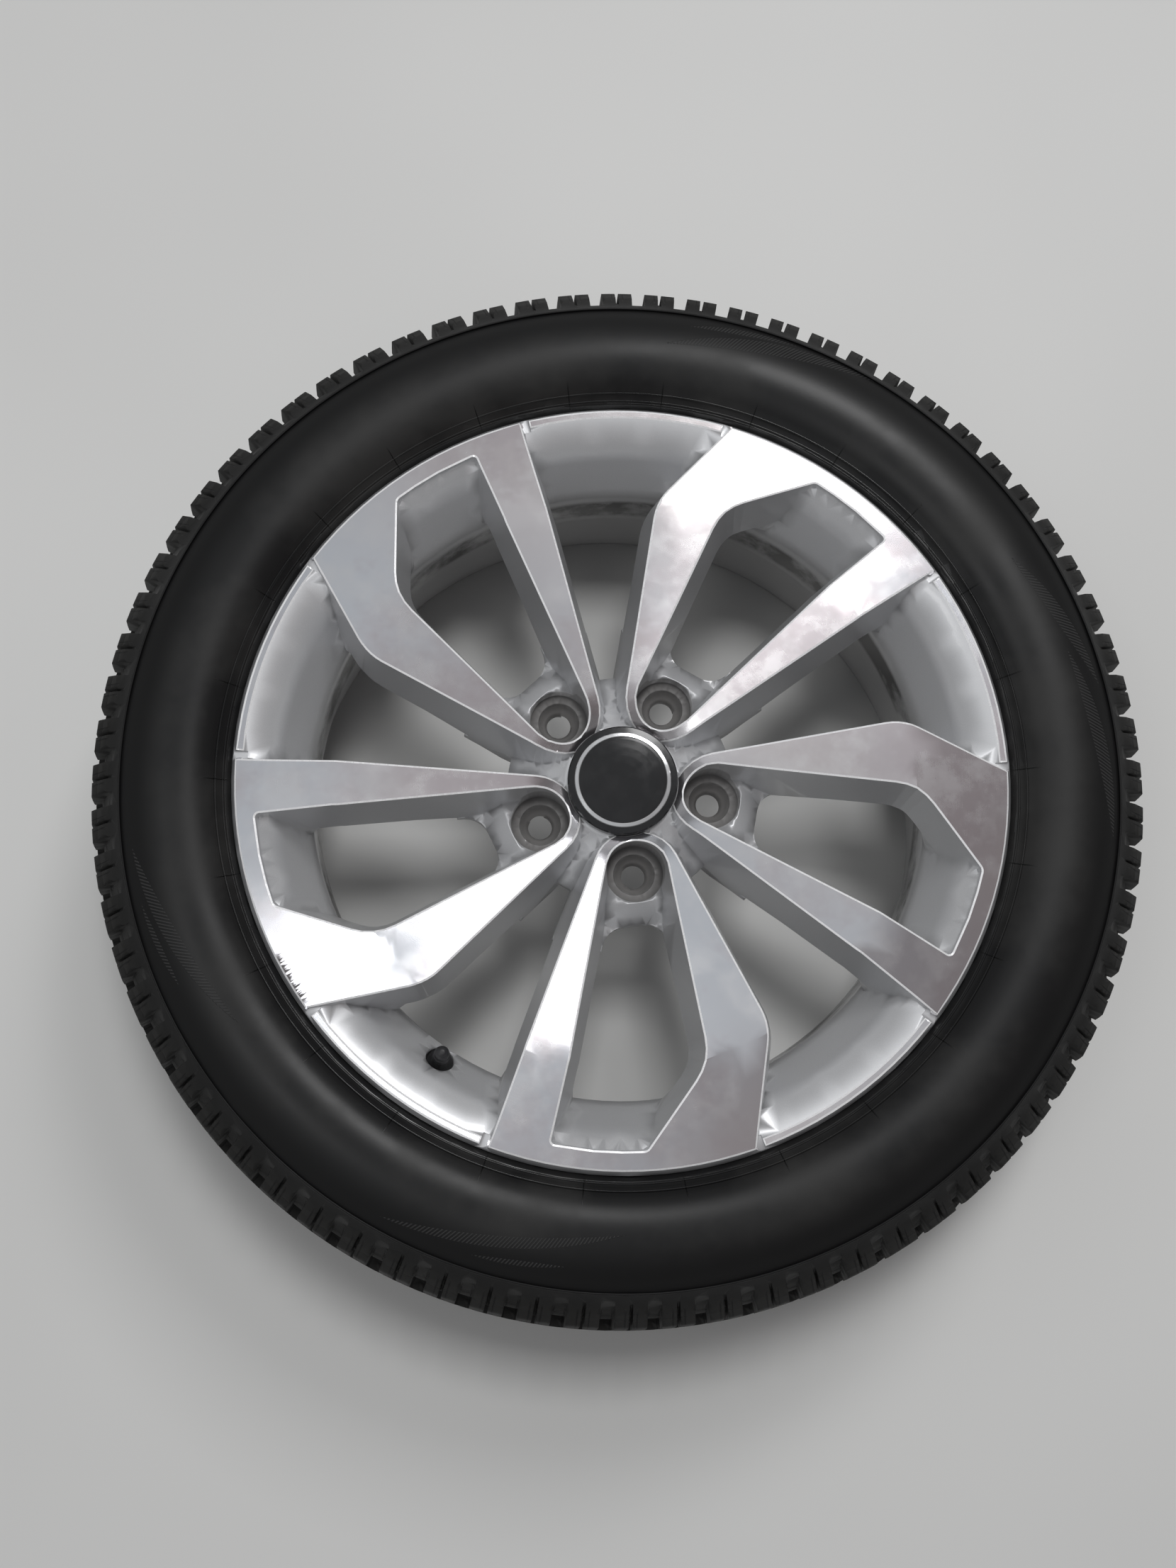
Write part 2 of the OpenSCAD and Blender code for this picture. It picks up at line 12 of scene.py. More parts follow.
import bmesh
import bpy
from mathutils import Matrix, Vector


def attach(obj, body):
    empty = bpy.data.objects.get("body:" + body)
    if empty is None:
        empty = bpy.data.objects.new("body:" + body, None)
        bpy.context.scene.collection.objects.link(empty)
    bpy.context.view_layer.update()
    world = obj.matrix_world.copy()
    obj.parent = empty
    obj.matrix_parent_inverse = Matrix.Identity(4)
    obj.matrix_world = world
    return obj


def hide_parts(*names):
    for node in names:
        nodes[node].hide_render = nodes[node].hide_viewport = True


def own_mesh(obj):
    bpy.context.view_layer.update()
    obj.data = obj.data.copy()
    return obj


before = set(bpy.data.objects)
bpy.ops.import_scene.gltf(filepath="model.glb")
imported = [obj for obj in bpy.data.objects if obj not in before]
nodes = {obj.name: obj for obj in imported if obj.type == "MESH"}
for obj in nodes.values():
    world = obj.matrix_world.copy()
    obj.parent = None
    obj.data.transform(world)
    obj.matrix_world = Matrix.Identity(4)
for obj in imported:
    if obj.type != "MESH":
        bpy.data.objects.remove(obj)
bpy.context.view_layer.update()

# %% [markdown]
# ## Sizes that the finishes need
# A finish often follows the shape: the lathe cuts only the face, and dust gathers at one depth of the barrel.
# So the few sizes that decide where a finish starts are written here once, in metres, as in the CAD source.

# %% Sizes of the wheel and tyre
MM = 0.001
lip_z = 214.5 * MM
lip_r = 233.1 * MM
strip_r = 228.5 * MM
ridge_r = 175 * MM
ridge_h = 8 * MM
hub_r = 60 * MM
cap_r = 34 * MM
bolt_circle_r = 56 * MM
well_r = 18 * MM
face_slope = 0.135
mid_z = 113 * MM
block_count = 72
bolt_angle = 90
spoke_count = 5
hub_bend = 63 * MM
ridge_radii = (240 * MM, 244 * MM, 300.5 * MM)
ridge_half = 0.7 * MM
ridge_sink = 0.2 * ridge_half
kerb_spot = (-0.2100, -0.0940, 0.2155)
hatch_count, vent_count, sipes_per_block = 860, 26, 4
feather_edge = 0.4 * MM
vent_r, vent_half = 244 * MM, 9 * MM

# Where each finish starts, and where it has its full strength
well_dark_r = (well_r + 0.6 * MM, well_r - 0.3 * MM)
well_dark_z = (lip_z - 18 * MM, lip_z - 24 * MM)
barrel_dark_z = (lip_z - 30 * MM, lip_z - 75 * MM)
dirt_band_r = (186 * MM, 189 * MM)
dirt_band_z, dirt_band_half = lip_z - 66 * MM, (16 * MM, 9 * MM)
kerb_reach = (19 * MM, 13 * MM)
scrape_depth, scrape_r = 13 * MM, (lip_r + 3 * MM, lip_r + 5 * MM)
bead_gloss_r = (249 * MM, 245 * MM)
outer_wall_r = (272 * MM, 290 * MM)
tread_r = (302 * MM, 315 * MM)
sipe_r = (309 * MM, 313 * MM)
front_side_z = (mid_z, mid_z + 20 * MM)


def face_z(r):
    """Height of the turned face over a radius."""
    if r >= ridge_r:
        return lip_z + ridge_h * (lip_r - r) / (lip_r - ridge_r)
    height = lip_z + ridge_h - face_slope * (ridge_r - r)
    return height if r >= hub_r else height - (hub_r - r) ** 2 / hub_bend


print("the face is highest at", round(face_z(ridge_r), 4), "m and ends at", round(face_z(lip_r), 4), "m")

# %% [markdown]
# ## The camera
# The photographer stood over the wheel and a little to one side. The camera is set by its place and its three
# angles, which keeps the picture's slight turn. A 51 mm lens on a 36 mm frame gives the photograph's width.

# %% Camera
camera_place = (-0.08355, -0.18769, 1.19596)
camera_angles = (11.036, -2.013, -8.051)
camera_data = bpy.data.cameras.new("Camera")
camera_data.sensor_fit = "HORIZONTAL"
camera_data.sensor_width = 36
camera_data.lens = 51
camera = bpy.data.objects.new("Camera", camera_data)
camera.location = camera_place
camera.rotation_euler = [math.radians(a) for a in camera_angles]
bpy.context.scene.collection.objects.link(camera)
bpy.context.scene.camera = camera
print("camera looks down from", [round(c, 3) for c in camera.location])

# %% [markdown]
# ## Floor and light
# The wheel lies on a painted white board, and a wide plane is enough for it. Turned metal shows the room more
# than its own colour, so the room matters. One soft window high on one side makes the bright bow tie on the
# spokes, and a weak lamp stands to the left. A third lamp, overhead, lights the floor and the paint and isn't
# reflected. The ceiling is grey and darker toward one side, the walls are dark, and near the floor the
# surroundings are pale where they are seen directly or in a reflection.

# %% Helpers for materials
def new_material(name):
    material = bpy.data.materials.new(name)
    material.use_nodes = True
    tree = material.node_tree
    return material, tree, tree.nodes["Principled BSDF"]


def add_node(tree, kind, **values):
    """A node with its settings and its unlinked inputs, given by name."""
    node = tree.nodes.new(kind)
    for key, value in values.items():
        if key.startswith("in_"):
            node.inputs[key[3:].replace("_", " ")].default_value = value
        else:
            setattr(node, key, value)
    return node


def math_node(tree, operation, a, b=None, clamp=False):
    """One arithmetic step on sockets or numbers, giving its output."""
    node = tree.nodes.new("ShaderNodeMath")
    node.operation, node.use_clamp = operation, clamp
    for i, value in enumerate((a, b)):
        if value is None:
            continue
        if isinstance(value, (int, float)):
            node.inputs[i].default_value = value
        else:
            tree.links.new(value, node.inputs[i])
    return node.outputs[0]


def add(tree, a, b, clamp=False):
    return math_node(tree, "ADD", a, b, clamp)


def subtract(tree, a, b, clamp=False):
    return math_node(tree, "SUBTRACT", a, b, clamp)


def multiply(tree, a, b, clamp=False):
    return math_node(tree, "MULTIPLY", a, b, clamp)


def object_place(tree):
    """The place on the object in metres, which every pattern starts from."""
    return tree.nodes.new("ShaderNodeTexCoord").outputs["Object"]


def ramp(tree, value, start, end, low=0.0, high=1.0):
    """A smooth step from low to high as value goes from start to end."""
    node = tree.nodes.new("ShaderNodeMapRange")
    node.interpolation_type = "SMOOTHSTEP"
    for name, number in (("From Min", start), ("From Max", end), ("To Min", low), ("To Max", high)):
        node.inputs[name].default_value = number
    tree.links.new(value, node.inputs["Value"])
    return node.outputs["Result"]


def mix_colour(tree, factor, a, b, blend="MIX"):
    """Colour a turning to b by factor. Each may be a socket or a colour."""
    node = tree.nodes.new("ShaderNodeMix")
    node.data_type, node.blend_type = "RGBA", blend
    for socket, value in ((node.inputs[0], factor), (node.inputs[6], a), (node.inputs[7], b)):
        if hasattr(value, "is_linked"):
            tree.links.new(value, socket)
        elif isinstance(value, (int, float)):
            socket.default_value = value
        else:
            socket.default_value = (*value, 1)
    return node.outputs[2]


def noise(tree, vector, scale, detail=3.0, roughness=0.55):
    node = add_node(tree, "ShaderNodeTexNoise", in_Scale=scale, in_Detail=detail, in_Roughness=roughness)
    tree.links.new(vector, node.inputs["Vector"])
    return node.outputs["Fac"]


def use_group(tree, group, **values):
    node = tree.nodes.new("ShaderNodeGroup")
    node.node_tree = group
    for name, value in values.items():
        node.inputs[name.replace("_", " ")].default_value = value
    return node.outputs


def bump(tree, shader, height, strength, distance):
    node = add_node(tree, "ShaderNodeBump", in_Strength=strength, in_Distance=distance)
    tree.links.new(height, node.inputs["Height"])
    tree.links.new(node.outputs["Normal"], shader.inputs["Normal"])


def wrap(tree, value, limit):
    """A value brought between minus the limit and the limit by whole steps."""
    node = add_node(tree, "ShaderNodeMath", operation="WRAP")
    node.inputs[1].default_value, node.inputs[2].default_value = limit, -limit
    tree.links.new(value, node.inputs[0])
    return node.outputs[0]


print("helpers ready")

# %% Floor
bpy.ops.object.select_all(action="DESELECT")
bpy.ops.mesh.primitive_plane_add(size=9, location=(0, 0, 0))
floor = bpy.context.object
floor.name = "floor"
floor_paint, tree, shader = new_material("floor_board")
place = object_place(tree)
patch = ramp(tree, noise(tree, place, 1.5, 2), 0.3, 0.7)
tree.links.new(mix_colour(tree, patch, (0.68, 0.68, 0.67), (0.72, 0.72, 0.71)), shader.inputs["Base Color"])
shader.inputs["Roughness"].default_value = 0.45
shader.inputs["Specular IOR Level"].default_value = 0.3
floor.data.materials.append(floor_paint)
print("floor", floor.dimensions[0], "m wide")

# %% Room and window
world = bpy.data.worlds.new("room")
bpy.context.scene.world = world
world.use_nodes = True
tree = world.node_tree
way = tree.nodes.new("ShaderNodeSeparateXYZ")
tree.links.new(tree.nodes.new("ShaderNodeTexCoord").outputs["Generated"], way.inputs[0])
across, ahead = multiply(tree, way.outputs[0], 0.8), multiply(tree, way.outputs[1], 0.6)
toward = subtract(tree, across, ahead)
ceiling = mix_colour(tree, ramp(tree, toward, 0.0, 0.5), (0.44, 0.45, 0.46), (0.15, 0.13, 0.13))
walls = ramp(tree, way.outputs[2], 0.85, 0.4)
room = mix_colour(tree, walls, ceiling, (0.12, 0.12, 0.12))
ray = tree.nodes.new("ShaderNodeLightPath").outputs
reflected = add(tree, ray["Is Glossy Ray"], ray["Is Transmission Ray"])
seen = add(tree, ray["Is Camera Ray"], reflected, clamp=True)
low = multiply(tree, seen, ramp(tree, way.outputs[2], 0.35, 0.1))
tree.links.new(mix_colour(tree, low, room, (0.55, 0.55, 0.55)), tree.nodes["Background"].inputs["Color"])


lamp_distance = 2.6
wheel_middle = Vector((0, 0, 0.2))


def window_light(name, azimuth, elevation, width, height, power):
    """A rectangular area light that looks at the wheel."""
    data = bpy.data.lights.new(name, "AREA")
    data.shape, data.size, data.size_y, data.energy = "RECTANGLE", width, height, power
    light = bpy.data.objects.new(name, data)
    a, e = math.radians(azimuth), math.radians(elevation)
    away = Vector((math.cos(a) * math.cos(e), math.sin(a) * math.cos(e), math.sin(e)))
    light.location = wheel_middle + away * lamp_distance
    light.rotation_euler = away.to_track_quat("Z", "Y").to_euler()
    bpy.context.scene.collection.objects.link(light)
    return light


key = window_light("window", 57, 59, 0.55, 0.75, 15)
fill = window_light("lamp", 183, 71, 0.45, 0.45, 3)
overhead = window_light("overhead", 75, 80, 0.5, 0.5, 24)
overhead.visible_glossy = False
bpy.context.scene.view_settings.view_transform = "Standard"
print("lights:", key.name, fill.name)

# %% [markdown]
# ## Shared effects
# Three effects are node groups with named outputs: the place about the wheel's axis, which most of the other
# patterns start from, fine rings that a lathe leaves, and stains where water and dust dried.

# %% Group: place on the wheel
def new_group(name, inputs, outputs):
    group = bpy.data.node_groups.new(name, "ShaderNodeTree")
    for label, kind, value in inputs:
        socket = group.interface.new_socket(label, in_out="INPUT", socket_type=kind)
        if value is not None:
            socket.default_value = value
    for label, kind in outputs:
        group.interface.new_socket(label, in_out="OUTPUT", socket_type=kind)
    return group, group.nodes.new("NodeGroupInput").outputs, group.nodes.new("NodeGroupOutput").inputs


NUMBER = "NodeSocketFloat"
wheel_place, _, out = new_group(
    "Wheel place", [], [("Radius", NUMBER), ("Angle", NUMBER), ("Height", NUMBER)])
where = object_place(wheel_place)
split = wheel_place.nodes.new("ShaderNodeSeparateXYZ")
wheel_place.links.new(where, split.inputs[0])
x, y, z = split.outputs
square = add(wheel_place, multiply(wheel_place, x, x), multiply(wheel_place, y, y))
wheel_place.links.new(math_node(wheel_place, "SQRT", square), out["Radius"])
wheel_place.links.new(math_node(wheel_place, "ARCTAN2", y, x), out["Angle"])
wheel_place.links.new(z, out["Height"])
print("group", wheel_place.name, "gives", [s.name for s in out if s.name])

# %% Group: fine rings round the axis
rings, given, out = new_group("Rings", [("Rings per metre", NUMBER, 900.0)], [("Lines", NUMBER)])
across = multiply(rings, use_group(rings, wheel_place)["Radius"], given["Rings per metre"])
line = add_node(rings, "ShaderNodeTexNoise", noise_dimensions="1D",
                in_Scale=1.0, in_Detail=4.0, in_Roughness=0.7)
rings.links.new(across, line.inputs["W"])
rings.links.new(line.outputs["Fac"], out["Lines"])
print("group", rings.name)

# %% Group: dried stains
stains, given, out = new_group(
    "Stains", [("Size", NUMBER, 12.0), ("Amount", NUMBER, 0.5), ("Seed", NUMBER, 0.0)], [("Mask", NUMBER)])
where = object_place(stains)
shift = stains.nodes.new("ShaderNodeVectorMath")
shift.operation = "ADD"
stains.links.new(where, shift.inputs[0])
stains.links.new(given["Seed"], shift.inputs[1])
patches = add_node(stains, "ShaderNodeTexNoise", in_Detail=5.0, in_Roughness=0.62)
stains.links.new(shift.outputs[0], patches.inputs["Vector"])
stains.links.new(given["Size"], patches.inputs["Scale"])
edge = multiply(stains, subtract(stains, 1.0, given["Amount"]), 0.8)
mask = multiply(stains, subtract(stains, patches.outputs["Fac"], edge), 6.0, clamp=True)
stains.links.new(mask, out["Mask"])
print("group", stains.name)

# %% [markdown]
# ## Finishes of the wheel
# The whole casting is painted silver. Then a lathe cuts the front of the spokes, and a clear lacquer goes
# over both. So there are two finishes and the cut's bright edge. Turning leaves rings, which stretch every
# reflection across them. That is what the anisotropy is for: its tangent runs round the axis, and a quarter
# turn lays the stretch across the rings.

# %% Turned face
def turned_metal(name, roughness):
    material, tree, shader = new_material(name)
    spot = use_group(tree, wheel_place)
    lines = use_group(tree, rings, Rings_per_metre=1400.0)["Lines"]
    haze = use_group(tree, stains, Size=8.0, Amount=0.44, Seed=3.0)
    water = use_group(tree, stains, Size=38.0, Amount=0.42, Seed=11.0)
    tint = ramp(tree, noise(tree, object_place(tree), 3.2, 1), 0.4, 0.6)
    clean = mix_colour(tree, tint, (0.82, 0.84, 0.89), (0.86, 0.80, 0.80))
    hazy = mix_colour(tree, haze["Mask"], clean, (0.70, 0.64, 0.66))
    spotted = mix_colour(tree, multiply(tree, water["Mask"], 0.4), hazy, (0.95, 0.94, 0.95))
    place = object_place(tree)
    near_kerb = tree.nodes.new("ShaderNodeVectorMath")
    near_kerb.operation = "DISTANCE"
    tree.links.new(place, near_kerb.inputs[0])
    near_kerb.inputs[1].default_value = kerb_spot
    scrape = add_node(tree, "ShaderNodeTexNoise", noise_dimensions="1D", in_Scale=150.0)
    tree.links.new(spot["Angle"], scrape.inputs["W"])
    depth = add(tree, spot["Radius"], multiply(tree, scrape.outputs["Fac"], scrape_depth))
    near = ramp(tree, near_kerb.outputs["Value"], *kerb_reach)
    scraped = multiply(tree, near, ramp(tree, depth, *scrape_r))
    tree.links.new(mix_colour(tree, scraped, spotted, (0.16, 0.15, 0.15)), shader.inputs["Base Color"])
    rough = roughness
    for mask, share in ((lines, 0.06), (haze["Mask"], 0.05), (water["Mask"], 0.05), (scraped, 0.3)):
        rough = add(tree, rough, multiply(tree, mask, share))
    tree.links.new(rough, shader.inputs["Roughness"])
    shader.inputs["Metallic"].default_value = 1.0
    shader.inputs["Anisotropic"].default_value = 0.8
    shader.inputs["Anisotropic Rotation"].default_value = 0.25
    shader.inputs["Coat Weight"].default_value = 0.6
    shader.inputs["Coat Roughness"].default_value = 0.06
    tangent = tree.nodes.new("ShaderNodeTangent")
    tangent.direction_type, tangent.axis = "RADIAL", "Z"
    tree.links.new(tangent.outputs[0], shader.inputs["Tangent"])
    bump(tree, shader, lines, 0.12, 0.00002)
    return material


turned = turned_metal("turned_face", 0.17)
print("finish:", turned.name)

# %% The cut's bevel, coloured near white as a painted highlight
# The bevel's near-white, barely metallic colour is a painted highlight that stands in for its glint.
painted_edge_highlight, tree, shader = new_material("painted_edge_highlight")
pooled = noise(tree, object_place(tree), 300, 2)
tree.links.new(mix_colour(tree, pooled, (0.82, 0.82, 0.83), (0.93, 0.93, 0.94)), shader.inputs["Base Color"])
tree.links.new(ramp(tree, pooled, 0.2, 0.8, 0.2, 0.36), shader.inputs["Roughness"])
shader.inputs["Metallic"].default_value = 0.15
shader.inputs["Coat Weight"].default_value = 0.6
shader.inputs["Coat Roughness"].default_value = 0.06
print("finish:", painted_edge_highlight.name)

# %% Silver paint, coloured darker deep in the barrel and the bolt wells, with a band of dirt
silver, tree, shader = new_material("silver_paint")
spot = use_group(tree, wheel_place)
flake = noise(tree, object_place(tree), 2600, 1)
paint = mix_colour(tree, flake, (0.60, 0.605, 0.62), (0.74, 0.745, 0.76))
grime = use_group(tree, stains, Size=22.0, Amount=0.52, Seed=5.0)
half_sector = math.radians(180 / spoke_count)
sector = wrap(tree, add(tree, spot["Angle"], math.radians(bolt_angle)), half_sector)
side = multiply(tree, math_node(tree, "SINE", sector), spot["Radius"])
outward = multiply(tree, math_node(tree, "COSINE", sector), spot["Radius"])
ahead = subtract(tree, outward, bolt_circle_r)
to_bolt = math_node(tree, "SQRT", add(tree, multiply(tree, side, side), multiply(tree, ahead, ahead)))
# Deep in each bolt well the colour is turned dark brown-grey.
well = multiply(tree, ramp(tree, to_bolt, *well_dark_r), ramp(tree, spot["Height"], *well_dark_z))
# The deeper a surface lies in the barrel, the more its colour is turned dark grey.
deep = ramp(tree, spot["Height"], *barrel_dark_z)
darkened = mix_colour(tree, multiply(tree, deep, 0.55), paint, (0.20, 0.19, 0.18))
darkened = mix_colour(tree, multiply(tree, well, 0.8), darkened, (0.08, 0.073, 0.066))
below = subtract(tree, dirt_band_z, spot["Height"])
band = ramp(tree, math_node(tree, "ABSOLUTE", below), *dirt_band_half)
in_barrel = ramp(tree, spot["Radius"], *dirt_band_r)
band = multiply(tree, multiply(tree, band, in_barrel), grime["Mask"])
tree.links.new(mix_colour(tree, band, darkened, (0.03, 0.028, 0.026)), shader.inputs["Base Color"])
band_and_well = math_node(tree, "MAXIMUM", band, well)
tree.links.new(subtract(tree, 0.55, band_and_well, clamp=True), shader.inputs["Metallic"])
tree.links.new(add(tree, 0.42, multiply(tree, deep, 0.2)), shader.inputs["Roughness"])
shader.inputs["Coat Weight"].default_value = 0.5
shader.inputs["Coat Roughness"].default_value = 0.12
bump(tree, shader, grime["Mask"], 0.1, 0.0001)
print("finish:", silver.name)

# %% [markdown]
# ## The alloy wheel
# The CAD solid has the exact form but knife-sharp edges. A real cut face ends in a narrow bevel, and here
# that bevel carries a painted highlight: a near-white, barely metallic colour that stays bright whatever it
# reflects. The CAD mesh may not be changed, so a copy is merged and each face of it is given its finish by
# its place. Then the cut faces are inset by the bevel's width and lifted by a lacquer's thickness, which
# leaves the painted walls as they are.

# %% Copy of a CAD node
merge_gap = 0.000005


def make_active(piece):
    bpy.ops.object.select_all(action="DESELECT")
    piece.select_set(True)
    bpy.context.view_layer.objects.active = piece


def copy_node(node, name, material):
    """A separate merged mesh of a CAD node, standing where the node does."""
    mesh = nodes[node].data.copy()
    mesh.name = name
    piece = bpy.data.objects.new(name, mesh)
    bpy.context.scene.collection.objects.link(piece)
    mesh.materials.clear()
    mesh.materials.append(material)
    make_active(piece)
    bpy.ops.object.mode_set(mode="EDIT")
    bpy.ops.mesh.select_all(action="SELECT")
    bpy.ops.mesh.remove_doubles(threshold=merge_gap)
    bpy.ops.object.mode_set(mode="OBJECT")
    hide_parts(node)
    return piece


def smooth(piece, degrees):
    """Smooth shading that keeps sharp edges, the borders between finishes and flat faces."""
    make_active(piece)
    bpy.ops.object.shade_smooth_by_angle(angle=math.radians(degrees))
    shape = bmesh.new()
    shape.from_mesh(piece.data)
    for edge in shape.edges:
        if len({face.material_index for face in edge.link_faces}) > 1:
            edge.smooth = False
    shape.to_mesh(piece.data)
    shape.free()
    flat = piece.modifiers.new("flat faces stay flat", "WEIGHTED_NORMAL")
    flat.keep_sharp, flat.weight = True, 90
    bpy.ops.object.modifier_apply(modifier=flat.name)


wheel = copy_node("alloy_wheel", "wheel_casting", silver)
wheel.data.materials.append(turned)
wheel.data.materials.append(painted_edge_highlight)
print("casting:", len(wheel.data.polygons), "faces")


# %% Find the turned faces
PAINTED, TURNED, EDGE = 0, 1, 2
least_upward = 0.6
face_tolerance, lip_tolerance, lip_depth = 0.35 * MM, 0.3 * MM, 1.5 * MM


def is_turned(face):
    """Whether a face lies on the turned surface or on the bright lip."""
    radii = [math.hypot(*wheel.data.vertices[i].co.xy) for i in face.vertices]
    heights = [wheel.data.vertices[i].co.z for i in face.vertices]
    if face.normal.z < least_upward or min(radii) < cap_r:
        return False
    on_face = all(abs(height - face_z(r)) < face_tolerance for height, r in zip(heights, radii))
    in_strip = min(radii) > strip_r - lip_tolerance and max(radii) < lip_r + lip_tolerance
    on_lip = in_strip and min(heights) > lip_z - lip_depth
    return on_face or on_lip


for face in wheel.data.polygons:
    face.material_index = TURNED if is_turned(face) else PAINTED
print("turned faces:", sum(face.material_index == TURNED for face in wheel.data.polygons))

# %% Bevel them by an inset
bevel_w, bevel_h = 1.1 * MM, 0.45 * MM
bpy.ops.object.mode_set(mode="EDIT")
bpy.ops.mesh.select_mode(type="FACE")
bpy.ops.mesh.select_all(action="DESELECT")
bpy.ops.object.mode_set(mode="OBJECT")
for face in wheel.data.polygons:
    face.select = face.material_index == TURNED
bpy.ops.object.mode_set(mode="EDIT")
bpy.ops.mesh.dissolve_limited(angle_limit=math.radians(0.05), delimit={"MATERIAL"})
bpy.ops.mesh.inset(thickness=bevel_w, depth=bevel_h, use_even_offset=False)
bpy.ops.object.mode_set(mode="OBJECT")
for face in wheel.data.polygons:
    if face.material_index == TURNED and not face.select:
        face.material_index = EDGE
print("bevel faces:", sum(face.material_index == EDGE for face in wheel.data.polygons))

# %% Smooth the casting
smooth(wheel, 34)
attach(wheel, "wheel")

# %% [markdown]
# ## The tyre
# Rubber is dark, glossy where the mould was polished and dull where it was textured. Everything on the
# sidewall is only a fraction of a millimetre high: two fine ridges beside the rim, one at the shoulder, vent
# lines, and long feather shapes filled with a fine hatch. The ridges are modelled, and the hatch is drawn as
# heights for a Bump node. One node group draws one feather, and it is placed eight times with other angles
# and sizes.

# %% Group: one feather on the sidewall
feather, given, out = new_group(
    "Feather",
    [("Tip angle", NUMBER, 0.0), ("Span", NUMBER, 0.4), ("Radius", NUMBER, 0.27), ("Drift", NUMBER, 0.02),
     ("Width", NUMBER, 0.004)],
    [("Mask", NUMBER)])
spot = use_group(feather, wheel_place)
turn = wrap(feather, subtract(feather, spot["Angle"], given["Tip angle"]), math.pi)
along = math_node(feather, "DIVIDE", turn, given["Span"])
bulge = multiply(feather, multiply(feather, along, 4.0), subtract(feather, 1.0, along))
centre = add(feather, given["Radius"], multiply(feather, given["Drift"], along))
away = math_node(feather, "ABSOLUTE", subtract(feather, spot["Radius"], centre))
inside = subtract(feather, multiply(feather, given["Width"], bulge), away)
feather.links.new(ramp(feather, inside, 0.0, feather_edge), out["Mask"])
print("group", feather.name)

# %% Rubber: sidewall marks
rubber, tree, shader = new_material("tyre_rubber")
spot = use_group(tree, wheel_place)
# Each feather has the angle of its tip and its span in degrees, then the radius of its tip, its drift and its
# half width in millimetres
feathers = (
    (76.6, -27, 275, 25, 5.0), (73.7, -14, 290, 8, 2.4), (21.8, -19, 274, 22, 4.5),
    (-15.8, 24, 296, -15, 4.5), (-97.9, -29, 267, 26, 3.4), (-104.9, -11, 287, 5, 1.6),
    (-154.1, -25, 268, 26, 4.2), (-161.4, -11, 288, 6, 1.8))
marks = None
for tip, span, radius, drift, width in feathers:
    one = use_group(tree, feather, Tip_angle=math.radians(tip), Span=math.radians(span), Radius=radius * MM,
                    Drift=drift * MM, Width=width * MM)["Mask"]
    marks = one if marks is None else math_node(tree, "MAXIMUM", marks, one)


def ring(radius, half_width):
    """A mask that is 1 on a thin ring of the sidewall."""
    off = math_node(tree, "ABSOLUTE", subtract(tree, spot["Radius"], radius))
    return ramp(tree, off, half_width, half_width * 0.3)


def stripes(count, share, lean=0.0):
    """Thin lines across the sidewall, so many round the tyre, each taking a share of the pitch."""
    turns = multiply(tree, spot["Angle"], count / (2 * math.pi))
    turns = add(tree, turns, multiply(tree, spot["Radius"], lean))
    off = math_node(tree, "ABSOLUTE", subtract(tree, math_node(tree, "FRACT", turns), 0.5))
    return ramp(tree, off, share * 0.5, share * 0.25)


upper = ramp(tree, spot["Height"], *front_side_z)
hatch = multiply(tree, multiply(tree, stripes(hatch_count, 0.6, 300), marks), upper)
vents = multiply(tree, stripes(vent_count, 0.012), ring(vent_r, vent_half))
print("feathers:", len(feathers))

# %% Rubber: sipes, colour and gloss
sipes = multiply(tree, stripes(block_count * sipes_per_block, 0.16), ramp(tree, spot["Radius"], *sipe_r))
dust = use_group(tree, stains, Size=7.0, Amount=0.45, Seed=2.0)
scuff = noise(tree, object_place(tree), 60, 4)
wall = mix_colour(tree, dust["Mask"], (0.008, 0.008, 0.0083), (0.020, 0.0197, 0.0192))
outer = ramp(tree, spot["Radius"], *outer_wall_r)
tread = ramp(tree, spot["Radius"], *tread_r)
worn = mix_colour(tree, tread, mix_colour(tree, outer, wall, (0.004, 0.004, 0.0042)), (0.013, 0.0128, 0.0122))
grooved = mix_colour(tree, math_node(tree, "MAXIMUM", sipes, vents), worn, (0.002, 0.002, 0.002))
tree.links.new(mix_colour(tree, hatch, grooved, (0.03, 0.03, 0.03)), shader.inputs["Base Color"])
bead = ramp(tree, spot["Radius"], *bead_gloss_r)
gloss = add(tree, 0.34, multiply(tree, dust["Mask"], 0.12))
gloss = add(tree, gloss, multiply(tree, outer, 0.14))
gloss = subtract(tree, gloss, multiply(tree, bead, 0.18))
tree.links.new(add(tree, gloss, multiply(tree, tread, 0.2), clamp=True), shader.inputs["Roughness"])
relief = add(tree, multiply(tree, hatch, 0.6), multiply(tree, scuff, 0.15))
relief = subtract(tree, relief, multiply(tree, sipes, 2.0))
bump(tree, shader, add(tree, relief, vents), 0.7, 0.0006)
shader.inputs["Specular IOR Level"].default_value = 0.35
print("finish:", rubber.name)

# %% Copy of the tyre
tyre = copy_node("tyre", "tyre_moulding", rubber)
smooth(tyre, 30)
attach(tyre, "wheel")
print("tyre:", len(tyre.data.polygons), "faces")

# %% [markdown]
# ### Ridges round the sidewall
# Two ridges beside the rim show that the bead sits true, and one marks the shoulder. Each is a torus sunk a
# little over half. A ray that drops on the tyre finds its height, so it lies on the rubber whatever the
# tyre's profile is.

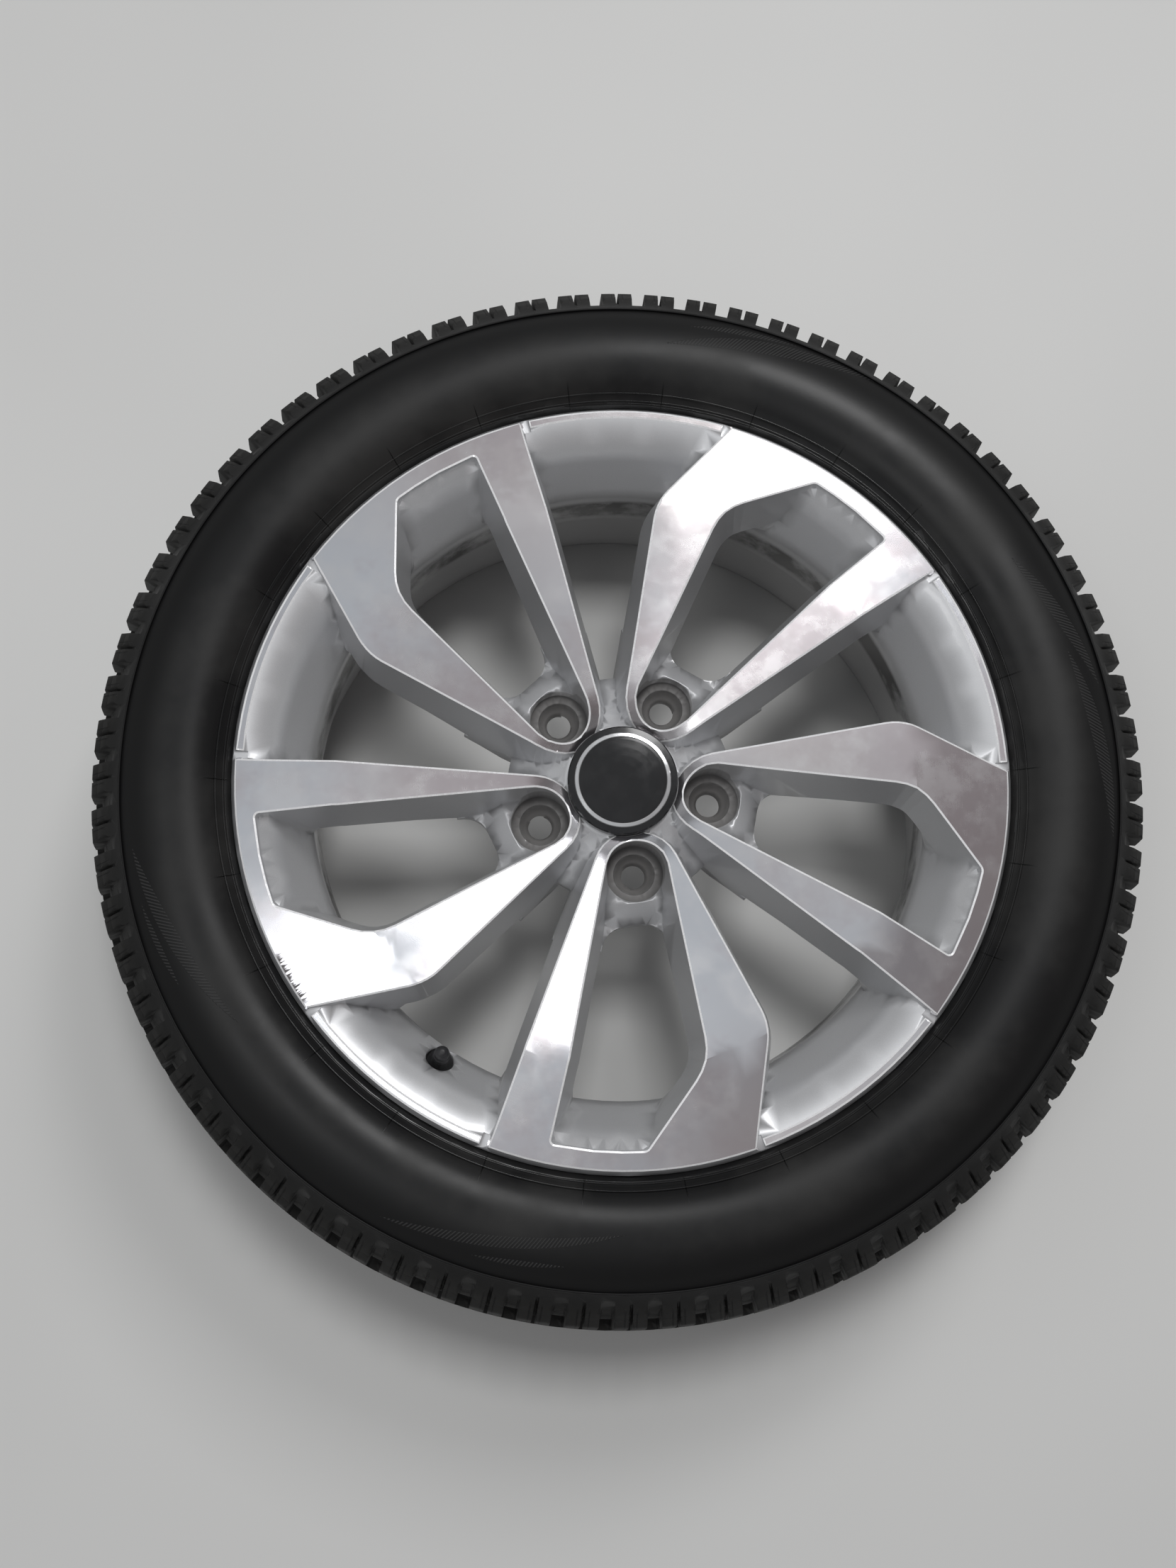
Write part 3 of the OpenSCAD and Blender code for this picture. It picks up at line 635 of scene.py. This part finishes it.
# %% Ridges
ridges = []
for radius in ridge_radii:
    rubber_top = tyre.ray_cast(Vector((radius, 0, 1)), Vector((0, 0, -1)))[1].z
    bpy.ops.object.select_all(action="DESELECT")
    bpy.ops.mesh.primitive_torus_add(
        major_radius=radius, minor_radius=ridge_half, major_segments=240, minor_segments=8,
        location=(0, 0, rubber_top - ridge_sink))
    ridges.append(bpy.context.object)
bpy.ops.object.select_all(action="DESELECT")
for ridge in ridges:
    ridge.select_set(True)
bpy.context.view_layer.objects.active = ridges[0]
bpy.ops.object.join()
ridge = bpy.context.object
ridge.name = "sidewall_ridges"
bpy.ops.object.transform_apply(location=True, rotation=True, scale=True)
bpy.ops.object.shade_smooth()
ridge.data.materials.append(rubber)
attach(ridge, "wheel")
print("ridges:", len(ridge_radii), "with", len(ridge.data.polygons), "faces")

# %% [markdown]
# ## Small parts
# The centre cap is gloss black plastic with a bright ring. The valve is black rubber round a brass stem with
# a plastic dust cap. The parts inside the stem are seen only when the cap is off, but they are finished too.

# %% Finishes of the small parts
def simple(name, colour, roughness, metallic=0.0, coat=0.0, wear=0.05):
    """A plain finish with a little unevenness in its colour and gloss."""
    material, tree, shader = new_material(name)
    marks = use_group(tree, stains, Size=60.0, Amount=0.45, Seed=float(len(name)))
    worn = [min(1.0, c + wear) for c in colour]
    tree.links.new(mix_colour(tree, marks["Mask"], colour, worn), shader.inputs["Base Color"])
    tree.links.new(add(tree, roughness, multiply(tree, marks["Mask"], 0.06)), shader.inputs["Roughness"])
    shader.inputs["Metallic"].default_value = metallic
    shader.inputs["Coat Weight"].default_value = coat
    shader.inputs["Coat Roughness"].default_value = 0.04
    bump(tree, shader, marks["Mask"], 0.05, 0.0001)
    return material


finishes = {
    "cap_body": simple("cap_black", (0.004, 0.004, 0.005), 0.12, coat=0.3, wear=0.003),
    "cap_trim_ring": simple("bright_trim", (0.82, 0.82, 0.83), 0.12, metallic=1.0),
    "cap_spring_ring": simple("spring_wire", (0.55, 0.55, 0.56), 0.35, metallic=1.0),
    "valve_body": simple("valve_rubber", (0.014, 0.014, 0.015), 0.5, wear=0.01),
    "valve_stem": simple("brass", (0.72, 0.52, 0.24), 0.3, metallic=1.0),
    "core_seal": simple("seal_red", (0.5, 0.05, 0.04), 0.5),
    "core_spring": simple("spring_steel", (0.6, 0.6, 0.61), 0.25, metallic=1.0),
    "valve_cap": simple("dust_cap_plastic", (0.018, 0.018, 0.02), 0.38, wear=0.02),
    "valve_cap_seal": simple("seal_grey", (0.2, 0.2, 0.2), 0.6),
}
finishes["core_body"] = finishes["core_pin"] = finishes["valve_stem"]
for name, finish in finishes.items():
    nodes[name].data.materials.clear()
    nodes[name].data.materials.append(finish)
print("finished nodes:", len(finishes))

# %% [markdown]
# ### The spring
# The core's spring stands on a ledge in the stem, and the pin's collar presses it down. A rigid copy would be
# cut by the collar. Here the copy is merged, smoothed and given its own mesh, and its points' heights along
# the stem are worked out but not used.

# %% Spring
stem_axis = Vector((0.136676, 0.1566746, 0.9781476))
spring = copy_node("core_spring", "core_spring_coil", finishes["core_spring"])
smooth(spring, 40)
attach(spring, "wheel")
along = [stem_axis.dot(v.co) for v in spring.data.vertices]
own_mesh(spring)

# %% End
bpy.context.view_layer.update()
